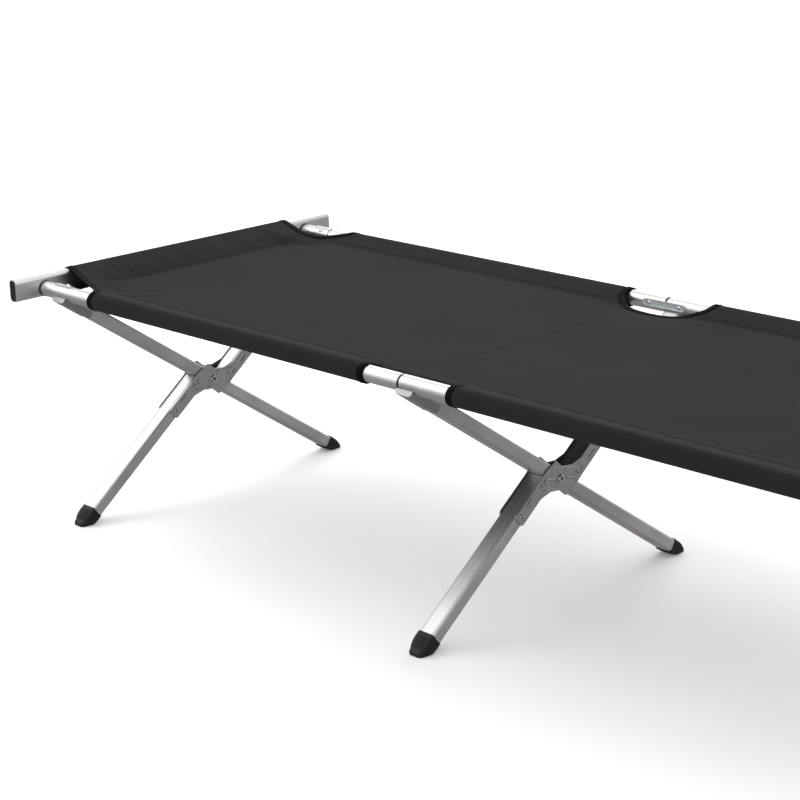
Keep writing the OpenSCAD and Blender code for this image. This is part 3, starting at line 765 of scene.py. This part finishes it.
# ---------------------------------------------------------------- knee plates: beads and eyelets
_, KNEE_UP, KNEE_FACE, lower_axis = leg_axes("lower_leg_mid")
PIVOT = mid("pivot_rivets")
KNEE_BASE = np.array([PIVOT.y, PIVOT.z])
KNEE_T = float(np.dot(lower_axis - KNEE_BASE, KNEE_FACE))
if KNEE_UP[1] < 0:
    KNEE_UP, KNEE_FACE, KNEE_T = -KNEE_UP, -KNEE_FACE, -KNEE_T
if KNEE_T < 0:
    KNEE_FACE, KNEE_T = -KNEE_FACE, -KNEE_T


def bead(path, side_x, sign, half=0.0017, rise=0.0010, closed=True):
    """A pressed ridge along a path in a plate's plane, on the plate's outer face."""
    path = np.array(path, float)
    if closed:
        path = np.concatenate([path, path[:1]])
    along = np.concatenate([[0], np.cumsum(np.linalg.norm(np.diff(path, axis=0), axis=1))])
    count = max(8, int(along[-1] / 0.0016))
    at = np.linspace(0, along[-1], count, endpoint=not closed)
    p = np.stack([np.interp(at, along, path[:, k]) for k in range(2)], axis=1)
    tangent = np.roll(p, -1, axis=0) - np.roll(p, 1, axis=0) if closed else np.gradient(p, axis=0)
    tangent /= np.linalg.norm(tangent, axis=1, keepdims=True)
    sideways = np.stack([-tangent[:, 1], tangent[:, 0]], axis=1)
    profile = [(-1.0, -0.2), (-0.8, 0.35), (-0.4, 0.85), (0.0, 1.0), (0.4, 0.85), (0.8, 0.35), (1.0, -0.2)]
    taper = np.ones(count)
    if not closed:
        taper = np.minimum(1, np.minimum(np.arange(count), np.arange(count)[::-1]) / 3)
    vertices = []
    for a, b in profile:
        q = p + sideways * (a * half * np.maximum(taper, 0.15))[:, None]
        x = side_x + sign * (b * rise * taper - (1 - taper) * 0.0002)
        vertices.append(along_leg(x, q[:, 0], q[:, 1], KNEE_UP, KNEE_FACE, KNEE_BASE))
    vertices = np.stack(vertices, axis=1).reshape(-1, 3)
    n = len(profile)
    here = range(count if closed else count - 1)
    faces = [(i * n + k, i * n + k + 1, (i + 1) % count * n + k + 1, (i + 1) % count * n + k)
             for i in here for k in range(n - 1)]
    faces += [(i * n + n - 1, i * n, (i + 1) % count * n, (i + 1) % count * n + n - 1) for i in here]
    if not closed:
        faces += [tuple(range(n))[::-1], tuple((count - 1) * n + k for k in range(n))]
    return vertices, faces, np.zeros((len(vertices), 2))


def lathe(profile, centre, axis, n=28):
    """A turned piece: (radius, height) points round an axis through centre."""
    axis = np.array(axis, float)
    side = np.cross(axis, [0.0, 0.6, 0.8])
    side /= np.linalg.norm(side)
    other = np.cross(axis, side)
    turns = np.arange(n) / n * 2 * math.pi
    rings = [centre + axis * h + r * (np.outer(np.cos(turns), side) + np.outer(np.sin(turns), other))
             for r, h in profile]
    m = len(rings)
    faces = [(i * n + k, i * n + (k + 1) % n, (i + 1) * n + (k + 1) % n, (i + 1) * n + k)
             for i in range(m - 1) for k in range(n)]
    faces += [tuple(range(n))[::-1], tuple((m - 1) * n + k for k in range(n))]
    return np.concatenate(rings), faces, np.zeros((n * m, 2))


def eyelet(centre, axis, r, rise):
    """Head of a tubular rivet: a rolled rim round a deep bore, with the bore's shade painted as a near-black
    plug sunk in the hole.
    """
    rolled = [(r, -0.0002), (r, 0.25 * rise), (r * 0.93, 0.62 * rise), (r * 0.78, 0.92 * rise),
              (r * 0.6, rise), (r * 0.46, 0.9 * rise), (r * 0.38, 0.6 * rise), (r * 0.35, 0.1 * rise),
              (r * 0.33, -0.0010)]
    # a near-black plug sunk in the hole: painted shade for the bore
    bore_painted_shade = [(r * 0.36, -0.0012), (r * 0.36, 0.12 * rise), (r * 0.2, 0.05 * rise)]
    return lathe(rolled, centre, axis), lathe(bore_painted_shade, centre, axis)


def smooth_loop(points, radius):
    closed = list(points) + list(points[:2])
    line = fillet(closed, [radius] * (len(points)), 6)
    return line[1:]


KNEE_RIVETS = (0.030, 0.098)       # from the pivot, along the leg
PAD = [(-0.046, 0.027), (-0.024, 0.026), (-0.010, 0.011), (-0.011, -0.004), (-0.019, -0.003), (-0.036, 0.014),
       (-0.047, 0.018)]
for where in ("head", "mid", "foot"):
    low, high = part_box("knee_plates_" + where)
    beads, rims, bore_painted_shades = [], [], []
    for sign, face_x in ((-1, low.x), (1, high.x)):
        for turn in (-1, 1):
            loop = smooth_loop([(turn * a, turn * b) for a, b in PAD], 0.004)
            beads.append(bead(loop, face_x, sign))
            arm = [(turn * -0.060, turn * (KNEE_T + 0.004)), (turn * -0.086, turn * (KNEE_T + 0.004))]
            beads.append(bead(arm, face_x, sign, 0.0026, 0.0013, closed=False))
            for s in KNEE_RIVETS:
                at = along_leg(np.array(face_x), np.array(-turn * s), np.array(turn * KNEE_T),
                               KNEE_UP, KNEE_FACE, KNEE_BASE)
                rim, bore_painted_shade = eyelet(at, (sign, 0, 0), 0.0050, 0.0020)
                rims.append(rim)
                bore_painted_shades.append(bore_painted_shade)
    v, f, _ = joined(beads)
    pressed = new_object("knee_beads_" + where, v, f, ZINC)
    v, f, _ = joined(rims)
    heads = new_object("knee_eyelets_" + where, v, f, RIVET)
    # near-black plugs in the knee rivets' bores: painted shade
    v, f, _ = joined(bore_painted_shades)
    painted_shade_holes = new_object("knee_bore_painted_shades_" + where, v, f, BORE_PAINTED_SHADE)
    for o, slot in ((pressed, "galvanised_steel"), (heads, "rivets"), (painted_shade_holes, "rivets")):
        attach(o, "far_frame")
    if where == "mid":
        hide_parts("knee_rivets")
    rims, bore_painted_shades = [], []
    for sign, face_x in ((-1, low.x), (1, high.x)):
        at = np.array([face_x + sign * 0.00025, PIVOT.y, PIVOT.z])
        rim, bore_painted_shade = eyelet(at, (sign, 0, 0), 0.0072, 0.0026)
        rims.append(rim)
        bore_painted_shades.append(bore_painted_shade)
    v, f, _ = joined(rims)
    heads = new_object("pivot_eyelets_" + where, v, f, RIVET)
    # near-black plugs in the pivot rivets' bores: painted shade
    v, f, _ = joined(bore_painted_shades)
    painted_shade_holes = new_object("pivot_bore_painted_shades_" + where, v, f, BORE_PAINTED_SHADE)
    for o in (heads, painted_shade_holes):
        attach(o, "near_frame")
    if where == "mid":
        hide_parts("pivot_rivets")

# ---------------------------------------------------------------- stage, light and camera
bpy.ops.mesh.primitive_plane_add(size=60, location=(0, 0, -0.0005))
floor = bpy.context.object
floor.name = "floor"
m, nodes, links, shader = material("floor_paint")
setting(shader, Roughness=0.9, Emission_Strength=0.11)
shader.inputs["Emission Color"].default_value = (1, 1, 1, 1)
cloud = noise(nodes, links, mapped(nodes, links, (1, 1, 1)), 3.0, 2.0)
links.new(ramp(nodes, links, cloud, [(0.2, 0.90), (0.8, 0.93)]), shader.inputs["Base Color"])
floor.data.materials.append(m)

world = bpy.data.worlds.new("studio")
bpy.context.scene.world = world
world.use_nodes = True
wn, wl = world.node_tree.nodes, world.node_tree.links
split = wn.new("ShaderNodeSeparateXYZ")
wl.new(wn.new("ShaderNodeTexCoord").outputs["Generated"], split.inputs["Vector"])
lifted = math_node(wn, wl, "ADD", math_node(wn, wl, "MULTIPLY", split.outputs["Z"], 0.5), 0.5)
sky = ramp(wn, wl, lifted, [(0.0, (0.26, 0.25, 0.25)), (0.47, (0.36, 0.35, 0.35)), (0.56, (0.90, 0.91, 0.92)),
                            (1.0, (1.0, 1.0, 1.0))])
wl.new(sky, wn["Background"].inputs["Color"])
wn["Background"].inputs["Strength"].default_value = 1.25
floor.visible_glossy = False


def softbox(name, place, target, size, power, colour=(1, 1, 1)):
    light = bpy.data.lights.new(name, "AREA")
    light.shape, light.size, light.size_y = "RECTANGLE", *size
    light.energy, light.color = power, colour
    o = bpy.data.objects.new(name, light)
    bpy.context.scene.collection.objects.link(o)
    o.location = place
    o.rotation_mode = "QUATERNION"
    o.rotation_quaternion = (Vector(target) - Vector(place)).to_track_quat("-Z", "Y")
    return o


softbox("key_left", (-3.4, -1.6, 3.2), (0, 0, 0.3), (3.4, 3.4), 60)
softbox("back", (-2.2, 3.6, 2.6), (0, 0, 0.3), (4.0, 2.0), 60)

YAW, PITCH, ROLL = (math.radians(a) for a in (47.166, 16.556, -1.853))
FOCAL_PX = 2209.0                  # for a frame 800 pixels wide
forward = Vector((-math.sin(YAW) * math.cos(PITCH), math.cos(YAW) * math.cos(PITCH), -math.sin(PITCH)))
right = Vector((math.cos(YAW), math.sin(YAW), 0))
above = right.cross(forward)
right, above = (right * math.cos(ROLL) + above * math.sin(ROLL),
                above * math.cos(ROLL) - right * math.sin(ROLL))
camera_data = bpy.data.cameras.new("camera")
camera_data.sensor_width = 36.0
camera_data.lens = FOCAL_PX / 800 * camera_data.sensor_width
camera_data.clip_end = 100
camera = bpy.data.objects.new("camera", camera_data)
camera.matrix_world = Matrix((right, above, -forward)).transposed().to_4x4()
camera.location = (2.316, -2.463, 1.348)
bpy.context.scene.collection.objects.link(camera)
bpy.context.scene.camera = camera
bpy.context.scene.view_settings.view_transform = "Standard"
